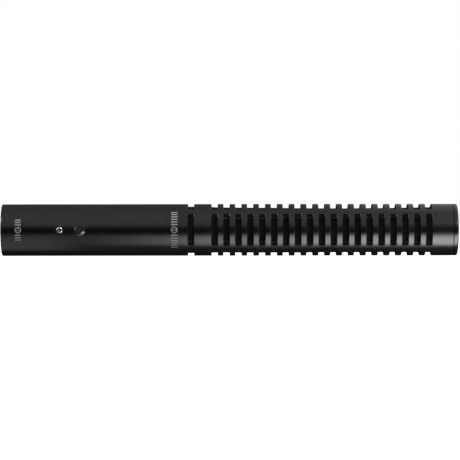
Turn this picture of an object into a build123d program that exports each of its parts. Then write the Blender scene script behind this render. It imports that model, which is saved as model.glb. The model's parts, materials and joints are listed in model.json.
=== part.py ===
from build123d import *
from build123d.topology import SkipClean
import os
from math import cos, pi, radians, sin, tan

# Short shotgun condenser microphone, in millimetres.
# X runs along the barrel and points at the sound source, Z is up, and the two screws face -Y.
# The origin is on the barrel's axis, halfway between the rear rim and the front rim.

# ---- driving dimensions -------------------------------------------------------------------
LENGTH = 185.0               # rear rim to front rim
BARREL_R = 10.5              # outside radius, the usual 21 mm barrel
WALL = 1.0
BORE_R = BARREL_R - WALL
RIM_ROUND = 0.45             # rounding of the rear rim

SLOT_WIDTH = 2.5             # along the barrel
SLOT_PITCH = 4.815
SLOT_COUNT = 19              # stations in the long row
FIRST_SLOT_X = -6.06         # centre of the rearmost station of the row
REAR_PORT_X = -15.64         # centre of the single station behind the capsule
SLOT_FLAT = 8.27             # distance from the axis to the flat that each cut leaves
SLOT_CHAMFER = 0.15
BARREL_SPLIT_X = -10.85      # plain ring between the rear port and the row

BEZEL_LENGTH = 1.94          # seam to front rim
SEAM_GAP = 0.10
SEAM_CHAMFER = 0.15
THREAD_PITCH = 0.75
THREAD_DEPTH = 0.25
THREAD_TURNS = 5
THREAD_CLEARANCE = 0.05

LOCK_SCREW_X = -68.6
LOCK_SCREW_R = 1.31
CHASSIS_SCREW_X = -60.4
CHASSIS_SEAT_R = 2.2         # mouth of the countersink, at the barrel's skin
CHASSIS_HEAD_R = 1.77
CHASSIS_HEAD_Y = -BARREL_R + 0.38
SHANK_R = 1.0                # M2 screw below its head

SOCKET_R = 8.1               # inside of the connector sleeve
SOCKET_DEPTH = 12.7          # rim to insulator face
PIN_R = 1.2
PIN_CIRCLE_R = 3.81
PIN_RECESS = 2.8             # rim to pin tip

CAPSULE_R = 8.0
CAPSULE_BACK_X = -13.6
CAPSULE_FRONT_X = -8.4

BOARD_TOP_Z = -1.0
BOARD_THICKNESS = 1.2
BOARD_HALF_WIDTH = 8.9
LEAD_R = 0.45
FINE_LEAD_R = 0.3
CLOTH = 0.3                  # thickness of the cloth sleeve
FIT = 0.05                   # gap between pieces that slide together

# ---- worked out from the driving dimensions -----------------------------------------------
REAR_X = -LENGTH / 2
FRONT_X = LENGTH / 2
BEZEL_BACK_X = FRONT_X - BEZEL_LENGTH + SEAM_GAP / 2
BARREL_FRONT_X = BEZEL_BACK_X - SEAM_GAP
SKIRT_LENGTH = THREAD_PITCH * (THREAD_TURNS + 0.5)
SKIRT_BACK_X = BEZEL_BACK_X - SKIRT_LENGTH
INSERT_FACE_X = REAR_X + SOCKET_DEPTH
INSERT_FLANGE_X = INSERT_FACE_X + 7.7
INSERT_FRONT_X = INSERT_FLANGE_X + 1.2
TAIL_END_X = INSERT_FRONT_X + 3.4
REAR_BULKHEAD = (CHASSIS_SCREW_X - 2.5, CHASSIS_SCREW_X + 2.5)
FRONT_BULKHEAD = (-21.0, -18.5)
BOARD_X = (REAR_BULKHEAD[1] + 0.2, FRONT_BULKHEAD[0] - 0.2)
BOARD_BOTTOM_Z = BOARD_TOP_Z - BOARD_THICKNESS
PIN_PLACES = ((PIN_CIRCLE_R, 0.0), (-PIN_CIRCLE_R, 0.0), (0.0, -PIN_CIRCLE_R))
LEAD_HOLES = ((3.2, 3.2), (-3.2, 3.2), (0.0, 4.6))
CAPSULE_LEAD_HOLES = ((2.0, 2.2), (-2.0, 2.2))


# ---- shapes that repeat -------------------------------------------------------------------
def turned(*corners, rounded=()):
    """Solid of revolution about X from (x, r) corners; rounded holds (corner, radius) pairs."""
    outline = make_face(Polyline(*corners, close=True))
    for corner, radius in rounded:
        outline = fillet(outline.vertices().sort_by_distance((*corner, 0))[0], radius)
    return revolve(outline, Axis.X)


def ring(r_out, r_in, x0, x1):
    """Plain ring about the barrel's axis."""
    return turned((x0, r_in), (x1, r_in), (x1, r_out), (x0, r_out))


def rod(radius, x0, x1, y=0.0, z=0.0):
    """Cylinder along X."""
    return extrude(Plane(origin=(x0, y, z), z_dir=(1, 0, 0)) * Circle(radius), x1 - x0)


def side_rod(radius, x, y0, y1, z=0.0):
    """Cylinder along Y."""
    return extrude(Plane(origin=(x, y0, z), z_dir=(0, 1, 0)) * Circle(radius), y1 - y0)


def upright_rod(radius, x, y, z0, z1):
    """Cylinder along Z."""
    return extrude(Plane(origin=(x, y, z0), z_dir=(0, 0, 1)) * Circle(radius), z1 - z0)


def side_cone(x, y0, r0, y1, r1):
    """Cone along Y, radius r0 at y0 and r1 at y1."""
    low = Plane(origin=(x, y0, 0), z_dir=(0, 1, 0)) * Circle(r0)
    high = Plane(origin=(x, y1, 0), z_dir=(0, 1, 0)) * Circle(r1)
    return loft([low.face(), high.face()])


def block(x, y, z):
    """Box between the pairs x, y and z."""
    size = [high - low for low, high in (x, y, z)]
    corner = (Align.MIN, Align.MIN, Align.MIN)
    return Pos(x[0], y[0], z[0]) * Box(*size, align=corner)


def on_circle(count, radius, start=0.0):
    """(y, z) places evenly round the axis, start in degrees."""
    turns = [radians(start + 360.0 * i / count) for i in range(count)]
    return [(radius * cos(t), radius * sin(t)) for t in turns]


def bend_radii(points):
    """Arc radius at each corner: 0.45 of its shorter run, over the tangent of half the turn."""
    radii = []
    for before, corner, after in zip(points, points[1:], points[2:]):
        run_in = Vector(corner) - Vector(before)
        run_out = Vector(after) - Vector(corner)
        half_turn = radians(run_in.get_angle(run_out)) / 2
        radii.append(0.45 * min(run_in.length, run_out.length) / tan(half_turn))
    return radii


def wire(radius, *points, largest=4.0):
    """Insulated wire: straight runs joined by tangent arcs, as large as the space allows."""
    radii = [min(r, largest) for r in bend_radii(points)]
    path = FilletPolyline(*points, radius=radii)
    section = Plane(origin=path @ 0, z_dir=path % 0) * Circle(radius)
    lead = sweep(section, path=path)
    ratio = lead.volume / (pi * radius**2 * path.length)
    print(f"wire {path.length:.2f} mm, arcs {[round(r, 2) for r in radii]}, volume ratio {ratio:.4f}")
    return lead


def group(solids):
    """Separate solids that share one node."""
    return Compound(children=[Solid(s.solids()[0].wrapped) for s in solids])


# ---- barrel and its cloth -----------------------------------------------------------------
def slot_cutter(x):
    """The four flat cuts of one station, with chamfered edges along the barrel's skin."""
    half = SLOT_WIDTH / 2
    lip = half + SLOT_CHAMFER
    band = turned(
        (x - half, SLOT_FLAT - 0.3), (x + half, SLOT_FLAT - 0.3),
        (x + half, BARREL_R - SLOT_CHAMFER), (x + lip, BARREL_R),
        (x + lip, BARREL_R + 0.8), (x - lip, BARREL_R + 0.8),
        (x - lip, BARREL_R), (x - half, BARREL_R - SLOT_CHAMFER),
    )
    return band - Pos(x, 0, 0) * Box(4 * half, 2 * SLOT_FLAT, 2 * SLOT_FLAT)


def chassis_screw_shape(gap):
    """Head rim and 90 degree cone of the chassis screw, grown by gap all round."""
    rim_y = CHASSIS_HEAD_Y + 0.15
    drop = CHASSIS_HEAD_R - SHANK_R
    rim = side_rod(CHASSIS_HEAD_R + gap, CHASSIS_SCREW_X, CHASSIS_HEAD_Y, rim_y)
    return rim + side_cone(CHASSIS_SCREW_X, rim_y, CHASSIS_HEAD_R + gap, rim_y + drop, SHANK_R + gap)


def screw_holes():
    """Clearance hole of the lock screw, and the chassis screw's countersunk hole."""
    lock_hole = side_rod(LOCK_SCREW_R + 0.12, LOCK_SCREW_X, -BARREL_R - 1, -BORE_R + 1)
    drop = CHASSIS_HEAD_Y + BARREL_R
    mouth = side_cone(CHASSIS_SCREW_X, -BARREL_R - drop, CHASSIS_SEAT_R + drop,
                      CHASSIS_HEAD_Y, CHASSIS_SEAT_R - drop)
    return [lock_hole, mouth, chassis_screw_shape(0.04)]


def barrel():
    """Slotted tube, made as a plain rear length and short ones that meet at the slots' centres."""
    rear = turned(
        (REAR_X, BORE_R), (BARREL_SPLIT_X, BORE_R), (BARREL_SPLIT_X, BARREL_R), (REAR_X, BARREL_R),
        rounded=[((REAR_X, BARREL_R), RIM_ROUND)],
    )
    lengths = [rear - [slot_cutter(REAR_PORT_X)] - screw_holes()]
    slots_x = [FIRST_SLOT_X + SLOT_PITCH * i for i in range(SLOT_COUNT)]
    ends_x = [BARREL_SPLIT_X, *slots_x, BARREL_FRONT_X]
    for start_x, end_x in zip(ends_x, ends_x[1:]):
        if end_x == BARREL_FRONT_X:
            rim = [(end_x, BARREL_R - SEAM_CHAMFER), (end_x - SEAM_CHAMFER, BARREL_R)]
        else:
            rim = [(end_x, BARREL_R)]
        plain = turned((start_x, BORE_R), (end_x, BORE_R), *rim, (start_x, BARREL_R))
        lengths.append(plain - [slot_cutter(x) for x in (start_x, end_x) if x in slots_x])
    with SkipClean():
        whole = lengths[0].fuse(*lengths[1:])
    return whole


def tube_liner():
    """Cloth sleeve behind all the slots; the capsule's holder presses it to the bore."""
    tight_r = BORE_R - FIT
    shape = (
        (FRONT_BULKHEAD[1] + 0.1, tight_r), (CAPSULE_FRONT_X + 0.6, tight_r), (20.0, 9.0),
        (47.0, 8.8), (66.0, 8.95), (SKIRT_BACK_X - 0.5, 9.15),
    )
    inside = [(x, r - CLOTH) for x, r in reversed(shape)]
    return turned(*shape, *inside)


# ---- front bezel --------------------------------------------------------------------------
def front_bezel():
    """Ring with a threaded skirt; the thread is a stack of ridges at the real pitch."""
    skirt_r = BORE_R - THREAD_CLEARANCE
    root_r = skirt_r - THREAD_DEPTH
    body = turned(
        (SKIRT_BACK_X, 8.75), (FRONT_X - 1.0, 8.75), (FRONT_X - 1.0, 8.4), (FRONT_X - 0.35, 8.4),
        (FRONT_X, 8.75), (FRONT_X, BARREL_R), (BEZEL_BACK_X + SEAM_CHAMFER, BARREL_R),
        (BEZEL_BACK_X, BARREL_R - SEAM_CHAMFER), (BEZEL_BACK_X, root_r), (SKIRT_BACK_X, root_r),
        rounded=[((FRONT_X, BARREL_R), 0.7)],
    )
    for turn in range(THREAD_TURNS):
        x = SKIRT_BACK_X + THREAD_PITCH * turn
        body += turned(
            (x, root_r - 0.1), (x, root_r), (x + 0.28, skirt_r), (x + 0.40, skirt_r),
            (x + 0.68, root_r), (x + 0.68, root_r - 0.1),
        )
    return body


def front_mesh():
    """Woven disc, as a plain disc of the outer size of the weave."""
    return rod(8.75 - FIT, FRONT_X - 1.5, FRONT_X - 1.0 - FIT)


def front_felt():
    """Felt disc that keeps wind and dust out of the tube."""
    return rod(8.75 - FIT, SKIRT_BACK_X + 1.1, FRONT_X - 1.5 - FIT)


def mesh_retainer():
    """Ring pressed into the skirt behind the felt."""
    return ring(8.75, 7.9, SKIRT_BACK_X + 0.2, SKIRT_BACK_X + 1.0)


# ---- capsule ------------------------------------------------------------------------------
def capsule_can():
    """Cup that holds the capsule's stack, open in front of the diaphragm."""
    return turned(
        (CAPSULE_BACK_X, 7.5), (CAPSULE_FRONT_X - 0.5, 7.5), (CAPSULE_FRONT_X - 0.5, 5.8),
        (CAPSULE_FRONT_X, 5.8), (CAPSULE_FRONT_X, CAPSULE_R), (CAPSULE_BACK_X, CAPSULE_R),
        rounded=[((CAPSULE_FRONT_X, CAPSULE_R), 0.2)],
    )


def diaphragm_ring():
    return ring(7.45, 6.1, CAPSULE_FRONT_X - 1.1, CAPSULE_FRONT_X - 0.55)


def diaphragm():
    return rod(7.4, CAPSULE_FRONT_X - 1.15, CAPSULE_FRONT_X - 1.1)


def spacer_ring():
    return ring(7.45, 6.6, CAPSULE_FRONT_X - 1.2, CAPSULE_FRONT_X - 1.15)


def backplate():
    """Brass disc with two circles of sound holes."""
    x1 = CAPSULE_FRONT_X - 1.2
    plate = rod(6.5, x1 - 1.2, x1)
    holes = [rod(0.4, x1 - 1.5, x1 + 0.3, y, z) for y, z in on_circle(6, 2.2) + on_circle(12, 4.6)]
    return plate - holes


def backplate_insulator():
    """Plastic cup behind the backplate, with vents to the rear."""
    x1 = CAPSULE_FRONT_X - 1.22
    cup = turned(
        (x1 - 2.4, 1.0), (x1 - 1.2, 1.0), (x1 - 1.2, 6.55), (x1, 6.55), (x1, 7.45), (x1 - 2.4, 7.45),
    )
    vents = [rod(0.7, x1 - 2.7, x1 - 0.9, y, z) for y, z in on_circle(6, 3.4, 30)]
    return cup - vents


def resistance_disc():
    """Fine cloth washer that sets the delay of the rear path."""
    x1 = CAPSULE_FRONT_X - 3.64
    return ring(4.9, 1.1, x1 - 0.4, x1)


def capsule_clamp_ring():
    """Ring that closes the can behind the insulator."""
    return ring(7.5, 5.0, CAPSULE_BACK_X + 0.1, CAPSULE_FRONT_X - 3.64)


def capsule_contact():
    """Rivet that takes the signal from the backplate."""
    x1 = CAPSULE_FRONT_X - 2.4
    return rod(0.95, CAPSULE_BACK_X - 0.3, x1) + rod(0.55, CAPSULE_BACK_X - 1.1, CAPSULE_BACK_X - 0.3)


def capsule_holder():
    """Rubber ring between the can and the cloth, with a lip at each end."""
    x0, x1 = CAPSULE_BACK_X - 0.15, CAPSULE_FRONT_X + 0.4
    outer = BORE_R - FIT - CLOTH
    return turned(
        (x0, CAPSULE_R), (CAPSULE_FRONT_X, CAPSULE_R), (CAPSULE_FRONT_X + FIT, 7.2), (x1, 7.2),
        (x1, outer), (x1 - 1.2, outer), (x1 - 1.5, outer - 0.4),
        (x0 + 1.5, outer - 0.4), (x0 + 1.2, outer), (x0, outer),
    )


# ---- chassis and circuit board ------------------------------------------------------------
def chassis():
    """Two bulkheads joined by a trough under the board, with a screw lug at each end."""
    outer = BORE_R - FIT
    rear = rod(outer, *REAR_BULKHEAD)
    front = rod(outer, *FRONT_BULKHEAD)
    trough = ring(outer, outer - 0.8, REAR_BULKHEAD[1] - 0.1, FRONT_BULKHEAD[0] + 0.1)
    half_space = block((REAR_BULKHEAD[0], FRONT_BULKHEAD[1]), (-10, 10), (-10, BOARD_BOTTOM_Z))
    trough = trough & half_space
    lugs = [
        block((REAR_BULKHEAD[1] - 0.1, BOARD_X[0] + 4.0), (-2.5, 2.5), (-9.0, BOARD_BOTTOM_Z)),
        block((BOARD_X[1] - 4.0, FRONT_BULKHEAD[0] + 0.1), (-2.5, 2.5), (-9.0, BOARD_BOTTOM_Z)),
    ]
    body = rear + front + trough + lugs
    x0, x1 = REAR_BULKHEAD[0] - 1, REAR_BULKHEAD[1] + 1
    lead_holes = [rod(LEAD_R + 0.3, x0, x1, y, z) for y, z in LEAD_HOLES]
    x0, x1 = FRONT_BULKHEAD[0] - 1, FRONT_BULKHEAD[1] + 1
    lead_holes += [rod(FINE_LEAD_R + 0.25, x0, x1, y, z) for y, z in CAPSULE_LEAD_HOLES]
    tapped = side_rod(SHANK_R + FIT, CHASSIS_SCREW_X, -BARREL_R, -4.2)
    board_holes = [upright_rod(0.8, x, 0, -6.0, BOARD_TOP_Z) for x in board_screw_places()]
    return body - (lead_holes + [tapped, chassis_screw_shape(0.04)] + board_holes)


def chassis_screw():
    """Countersunk M2 screw with a cross recess, set just under the barrel's skin."""
    shank = side_rod(SHANK_R, CHASSIS_SCREW_X, CHASSIS_HEAD_Y + 1.0, -4.4)
    arm_long, arm_half, depth = 0.95, 0.2, 0.7
    x, y = CHASSIS_SCREW_X, (CHASSIS_HEAD_Y - 1, CHASSIS_HEAD_Y + depth)
    arms = [
        block((x - arm_long, x + arm_long), y, (-arm_half, arm_half)),
        block((x - arm_half, x + arm_half), y, (-arm_long, arm_long)),
    ]
    return chassis_screw_shape(0.0) + shank - arms


def board_screw_places():
    return (BOARD_X[0] + 2.0, BOARD_X[1] - 2.0)


def circuit_board():
    board = block(BOARD_X, (-BOARD_HALF_WIDTH, BOARD_HALF_WIDTH), (BOARD_BOTTOM_Z, BOARD_TOP_Z))
    corners = board.edges().filter_by(Axis.Z)
    board = chamfer(corners, 0.6)
    return board - [upright_rod(0.85, x, 0, -4, 0) for x in board_screw_places()]


def board_screws():
    screws = []
    for x in board_screw_places():
        head = upright_rod(1.5, x, 0, BOARD_TOP_Z, BOARD_TOP_Z + 0.9)
        recess = block((x - 0.9, x + 0.9), (-0.2, 0.2), (BOARD_TOP_Z + 0.5, BOARD_TOP_Z + 2))
        screws.append(head + upright_rod(0.75, x, 0, -5.5, BOARD_TOP_Z) - recess)
    return group(screws)


def transistors():
    """Two plastic cases with one flat side each."""
    cases = []
    for x in (-29.0, -35.5):
        case = upright_rod(2.3, x, 3.2, BOARD_TOP_Z, BOARD_TOP_Z + 4.6)
        cases.append(case - block((x - 3, x + 3), (4.5, 9), (-3, 9)))
    return group(cases)


def electrolytic_capacitors():
    """Three upright cans with a rolled groove near the foot."""
    cans = []
    for x, y in ((-46.0, -4.6), (-40.0, -4.6), (-40.5, 4.4)):
        can = upright_rod(2.4, x, y, BOARD_TOP_Z, BOARD_TOP_Z + 5.6)
        groove_ring = upright_rod(2.6, x, y, 0.2, 0.6) - upright_rod(2.2, x, y, 0.2, 0.6)
        cans.append(fillet(can.edges().group_by(Axis.Z)[-1], 0.3) - groove_ring)
    return group(cans)


def film_capacitors():
    cases = []
    for x in (-34.0, -29.5):
        case = block((x - 1.4, x + 1.4), (-7.0, -1.2), (BOARD_TOP_Z, BOARD_TOP_Z + 4.4))
        cases.append(chamfer(case.edges().group_by(Axis.Z)[-1], 0.3))
    return group(cases)


def resistors():
    """Six axial resistors, each a body with its two legs bent down to the board."""
    parts = []
    places = ((-47.0, 2.0), (-47.0, 4.4), (-47.0, 6.8), (-34.6, 7.2), (-25.4, -5.0), (-25.4, -7.2))
    for x, y in places:
        z = BOARD_TOP_Z + 0.95
        body = rod(0.8, x - 1.6, x + 1.6, y, z)
        legs = rod(0.22, x - 2.3, x + 2.3, y, z)
        feet = [upright_rod(0.22, x + s * 2.1, y, BOARD_TOP_Z, z) for s in (-1, 1)]
        parts.append(body + legs + feet)
    return group(parts)


# ---- leads --------------------------------------------------------------------------------
def capsule_signal_lead():
    """Lead from the rivet through the front bulkhead to the board."""
    y, z = CAPSULE_LEAD_HOLES[0]
    start = CAPSULE_BACK_X - 1.1
    end = -24.2
    return wire(FINE_LEAD_R, (start, 0, 0), (start - 1.2, 0, 0), (start - 3.2, y, z),
                (end, y, z), (end, y, BOARD_TOP_Z))


def capsule_ground_lead():
    """Lead from the clamp ring through the front bulkhead to the board."""
    y, z = CAPSULE_LEAD_HOLES[1]
    start = CAPSULE_BACK_X + 0.1
    end = -23.0
    return wire(FINE_LEAD_R, (start, -6.2, 0), (start - 1.8, -6.2, 0), (start - 4.2, y, z),
                (end, y, z), (end, y, BOARD_TOP_Z))


def connector_lead(number):
    """Lead from a contact pin's solder cup through the rear bulkhead to the board."""
    pin_y, pin_z = PIN_PLACES[number - 1]
    hole_y, hole_z = LEAD_HOLES[number - 1]
    end = (-53.0, -53.0, -50.2)[number - 1]
    largest = (4.0, 4.0, 1.9)[number - 1]
    return wire(LEAD_R, (TAIL_END_X - 1.6, pin_y, pin_z), (TAIL_END_X + 1.2, pin_y, pin_z),
                (REAR_BULKHEAD[0] - 1.0, hole_y, hole_z), (end, hole_y, hole_z),
                (end, hole_y, BOARD_TOP_Z), largest=largest)


# ---- connector ----------------------------------------------------------------------------
def connector_sleeve():
    """Metal lining of the socket, with the latch pocket opposite pin 3."""
    outer = BORE_R - FIT
    sleeve = turned(
        (REAR_X + 0.25, SOCKET_R + 0.4), (REAR_X + 0.65, SOCKET_R), (INSERT_FLANGE_X, SOCKET_R),
        (INSERT_FLANGE_X, outer), (REAR_X + 0.25, outer),
    )
    latch = block((REAR_X + 4.2, REAR_X + 7.2), (-2.2, 2.2), (SOCKET_R - 1.0, SOCKET_R + 0.75))
    return sleeve - latch


def connector_insert():
    """Insulator: a stepped disc, with a tongue that carries the lock block."""
    bosses = [rod(PIN_R + 0.75, INSERT_FACE_X, INSERT_FACE_X + 0.6, y, z) for y, z in PIN_PLACES]
    disc = rod(SOCKET_R - FIT, INSERT_FACE_X + 0.5, INSERT_FLANGE_X + 0.1)
    flange = rod(BORE_R - 0.1, INSERT_FLANGE_X, INSERT_FRONT_X)
    tongue = block((INSERT_FRONT_X - 0.1, LOCK_SCREW_X + 3.1), (-9.4, -5.3), (-4.4, 4.4))
    tongue = tongue & rod(BORE_R - 0.1, INSERT_FRONT_X - 0.2, LOCK_SCREW_X + 3.2)
    pin_holes = [rod(1.5, INSERT_FACE_X - 1, INSERT_FRONT_X + 1, y, z) for y, z in PIN_PLACES]
    pocket = block((LOCK_SCREW_X - 2.1, LOCK_SCREW_X + 2.1), (-9.6, -6.0), (-2.4, 2.4))
    return disc + flange + tongue + bosses - (pin_holes + [pocket])


def contact_pin(number):
    """Round contact: a thicker waist in the insulator and a hollow solder cup at the tail."""
    y, z = PIN_PLACES[number - 1]
    exposed = rod(PIN_R, REAR_X + PIN_RECESS, INSERT_FACE_X, y, z)
    exposed = fillet(exposed.edges().group_by(Axis.X)[0], 0.85)
    waist = rod(1.5, INSERT_FACE_X, INSERT_FRONT_X, y, z)
    tail = rod(0.95, INSERT_FRONT_X, TAIL_END_X, y, z) - rod(0.56, TAIL_END_X - 1.6, TAIL_END_X, y, z)
    return exposed + waist + tail


def ground_spring():
    """Leaf that ties the insert's earth to the barrel, bowed out to the bore."""
    x0 = INSERT_FRONT_X
    leaf = 0.25
    outline = make_face(Polyline(
        (x0, 7.0), (x0 + leaf, 7.0), (x0 + leaf, 8.6), (x0 + 1.6, 9.13), (x0 + 2.2, 9.13),
        (x0 + 3.6, 8.5), (x0 + 3.7, 8.74), (x0 + 2.25, 9.38), (x0 + 1.55, 9.38), (x0, 8.8),
        close=True,
    ))
    return extrude(outline, 1.5, both=True)


def lock_block():
    """Nut plate in the insert's tongue."""
    x = (LOCK_SCREW_X - 2.1, LOCK_SCREW_X + 2.1)
    plate = block(x, (-9.4, -6.0), (-2.4, 2.4)) & rod(BORE_R - 0.1, x[0] - 1, x[1] + 1)
    return plate - side_rod(LOCK_SCREW_R + 0.03, LOCK_SCREW_X, -BARREL_R, -5)


def lock_screw():
    """Grub screw with a domed end, a hex socket and a chamfered point."""
    outer_y, inner_y = -BARREL_R + 0.12, -6.3
    screw = side_rod(LOCK_SCREW_R, LOCK_SCREW_X, outer_y, inner_y)
    ends = screw.edges().filter_by(GeomType.CIRCLE).sort_by(Axis.Y)
    screw = chamfer(ends[-1], 0.2)
    screw = fillet(screw.edges().filter_by(GeomType.CIRCLE).sort_by(Axis.Y)[0], 0.45)
    hexagon = RegularPolygon(0.65, 6, major_radius=False)
    socket = extrude(Plane(origin=(LOCK_SCREW_X, outer_y, 0), z_dir=(0, 1, 0)) * hexagon, 1.3)
    return screw - socket


# ---- nodes --------------------------------------------------------------------------------
def build_nodes():
    """Every piece, by node name."""
    nodes = {piece.__name__: piece() for piece in (
        barrel, tube_liner,
        front_bezel, front_mesh, front_felt, mesh_retainer,
        capsule_can, diaphragm_ring, diaphragm, spacer_ring, backplate, backplate_insulator,
        resistance_disc, capsule_clamp_ring, capsule_contact, capsule_holder,
        chassis, chassis_screw, circuit_board, board_screws, transistors,
        electrolytic_capacitors, film_capacitors, resistors,
        capsule_signal_lead, capsule_ground_lead,
        connector_sleeve, connector_insert, ground_spring, lock_block, lock_screw,
    )}
    for number in (1, 2, 3):
        nodes[f"contact_pin_{number}"] = contact_pin(number)
        nodes[f"connector_lead_{number}"] = connector_lead(number)
    return nodes


os.makedirs("parts", exist_ok=True)
for name, shape in build_nodes().items():
    export_step(shape, f"parts/{name}.step")
    print(name, round(shape.volume, 2))
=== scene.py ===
# %% [markdown]
# # A short shotgun microphone
# The working model comes first: every barrel, ring, screw and contact at its real size, already
# sorted into the bodies that move. Everything after this cell is appearance. Pieces that are right
# as they are only get a finish; cloth, woven wire, felt and printing are made here, in metres, in
# the model's own place, so nothing has to be fitted afterwards.

import bmesh
import bpy
import json
import math
from mathutils import Matrix, Vector, noise


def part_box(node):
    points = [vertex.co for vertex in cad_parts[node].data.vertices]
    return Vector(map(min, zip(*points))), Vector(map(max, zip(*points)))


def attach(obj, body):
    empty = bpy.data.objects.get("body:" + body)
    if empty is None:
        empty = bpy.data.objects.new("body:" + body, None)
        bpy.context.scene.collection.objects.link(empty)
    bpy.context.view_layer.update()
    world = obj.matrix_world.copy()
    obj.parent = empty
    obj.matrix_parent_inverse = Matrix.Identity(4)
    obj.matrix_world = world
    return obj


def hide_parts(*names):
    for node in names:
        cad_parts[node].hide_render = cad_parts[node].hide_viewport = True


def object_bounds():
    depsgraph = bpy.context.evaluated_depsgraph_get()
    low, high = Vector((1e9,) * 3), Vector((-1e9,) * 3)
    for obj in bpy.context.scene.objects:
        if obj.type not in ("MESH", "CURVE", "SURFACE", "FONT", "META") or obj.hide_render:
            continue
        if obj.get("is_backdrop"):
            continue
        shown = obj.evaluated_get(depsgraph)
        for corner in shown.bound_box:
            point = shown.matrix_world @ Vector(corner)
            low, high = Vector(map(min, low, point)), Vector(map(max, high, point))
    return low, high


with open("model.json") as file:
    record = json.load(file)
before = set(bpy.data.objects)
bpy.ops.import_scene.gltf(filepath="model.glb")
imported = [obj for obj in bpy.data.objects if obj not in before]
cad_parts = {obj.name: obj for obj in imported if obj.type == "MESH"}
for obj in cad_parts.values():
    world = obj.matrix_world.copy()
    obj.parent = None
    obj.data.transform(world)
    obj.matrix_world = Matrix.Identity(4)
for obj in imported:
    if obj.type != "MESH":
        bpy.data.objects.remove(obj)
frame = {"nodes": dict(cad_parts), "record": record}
cad_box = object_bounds()
nodes = frame["nodes"]

# %% Sizes read from the model
MM = 0.001
barrel_low, barrel_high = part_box("barrel")
BARREL_R = barrel_high.y
REAR_X = barrel_low.x
FRONT_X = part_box("front_bezel")[1].x
LENGTH = FRONT_X - REAR_X
lock_low, lock_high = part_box("lock_screw")
LOCK_X = (lock_low.x + lock_high.x) / 2
chassis_low, chassis_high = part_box("chassis_screw")
CHASSIS_SCREW_X = (chassis_low.x + chassis_high.x) / 2
print(f"length {LENGTH / MM:.1f} mm, barrel radius {BARREL_R / MM:.2f} mm")

# %% [markdown]
# ## Camera
# A long thin object is best seen from far away through a long lens, so that its sides stay
# parallel. About a metre of distance and a lens of roughly 200 mm leave only the slight curve that
# shows at the rims. The lens is worked out from the width that has to fit, not typed in.

# %% Camera
SENSOR_MM = 36.0
CAMERA_DISTANCE = 1.05
FRAME_OVER_LENGTH = 1.0124
CAMERA_ROLL = 0.07  # degrees
CAMERA_OFFSET = (0.17 * MM, -0.06 * MM)  # along the barrel and up

camera_data = bpy.data.cameras.new("camera")
camera_data.sensor_width = SENSOR_MM
camera_data.lens = SENSOR_MM * CAMERA_DISTANCE / (LENGTH * FRAME_OVER_LENGTH)
camera_data.clip_start = 0.01
camera_data.clip_end = 20
camera = bpy.data.objects.new("camera", camera_data)
camera.location = (CAMERA_OFFSET[0], -CAMERA_DISTANCE, CAMERA_OFFSET[1])
camera.rotation_euler = (math.pi / 2, math.radians(CAMERA_ROLL), 0)
bpy.context.scene.collection.objects.link(camera)
bpy.context.scene.camera = camera
print(f"lens {camera_data.lens:.1f} mm")

# %% [markdown]
# ## Helpers for node trees
# Every finish below is a small network of nodes. One helper adds a node and fills its sockets,
# with a number or with a link, which keeps each network readable as a list of steps. A second
# helper makes a reusable group with named sockets, so that an effect such as blasted grain is
# built once and only its strength differs from finish to finish.

# %% Node helpers
def put(tree, kind, sockets=None, **settings):
    """Add a node, set its properties, and fill its sockets with values or links."""
    made = tree.nodes.new(kind)
    for key, value in settings.items():
        setattr(made, key, value)
    for key, value in (sockets or {}).items():
        if isinstance(value, bpy.types.NodeSocket):
            tree.links.new(value, made.inputs[key])
        else:
            made.inputs[key].default_value = value
    return made


def maths(tree, operation, *values):
    """One arithmetic node; returns its result."""
    return put(tree, "ShaderNodeMath", dict(enumerate(values)), operation=operation).outputs[0]


def spread_over(tree, value, low, high, to_low=0.0, to_high=1.0):
    """Turn the range low..high into to_low..to_high, clamped, with soft ends."""
    made = put(tree, "ShaderNodeMapRange", {
        "Value": value, "From Min": low, "From Max": high, "To Min": to_low, "To Max": to_high,
    }, interpolation_type="SMOOTHSTEP")
    return made.outputs["Result"]


def mixed(tree, share, first, second):
    """Blend two colours by share."""
    made = put(tree, "ShaderNodeMix", data_type="RGBA")
    for socket, value in ((0, share), (6, first), (7, second)):
        if isinstance(value, bpy.types.NodeSocket):
            tree.links.new(value, made.inputs[socket])
        else:
            made.inputs[socket].default_value = value
    return made.outputs[2]


def new_group(name, inputs, outputs):
    """An empty shader group with float or vector inputs and named outputs."""
    tree = bpy.data.node_groups.new(name, "ShaderNodeTree")
    for label, default in inputs:
        kind = "NodeSocketVector" if default is None else "NodeSocketFloat"
        socket = tree.interface.new_socket(name=label, in_out="INPUT", socket_type=kind)
        if default is not None:
            socket.default_value = default
    for label in outputs:
        tree.interface.new_socket(name=label, in_out="OUTPUT", socket_type="NodeSocketFloat")
    return tree, tree.nodes.new("NodeGroupInput"), tree.nodes.new("NodeGroupOutput")


def use(tree, group, **values):
    """Place a group in a material; underscores in a name stand for spaces."""
    made = put(tree, "ShaderNodeGroup", node_tree=group)
    for label, value in values.items():
        socket = made.inputs[label.replace("_", " ")]
        if isinstance(value, bpy.types.NodeSocket):
            tree.links.new(value, socket)
        else:
            socket.default_value = value
    return made.outputs

print("node helpers ready")

# %% [markdown]
# ## Room
# The microphone is lit like a catalogue shot: a wide soft ceiling fills the upper half of the
# tube, the camera side stays black and leaves a dark stripe along the middle, and a low softbox in
# front and to the right draws the bright stripe below it, strongest near the front end. A round
# tube shows nothing but its surroundings, so the room is drawn as a smooth ramp of brightness by
# height, dimmer behind the microphone, and brighter in one upright band ahead of it that lights
# the front rim.

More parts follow.
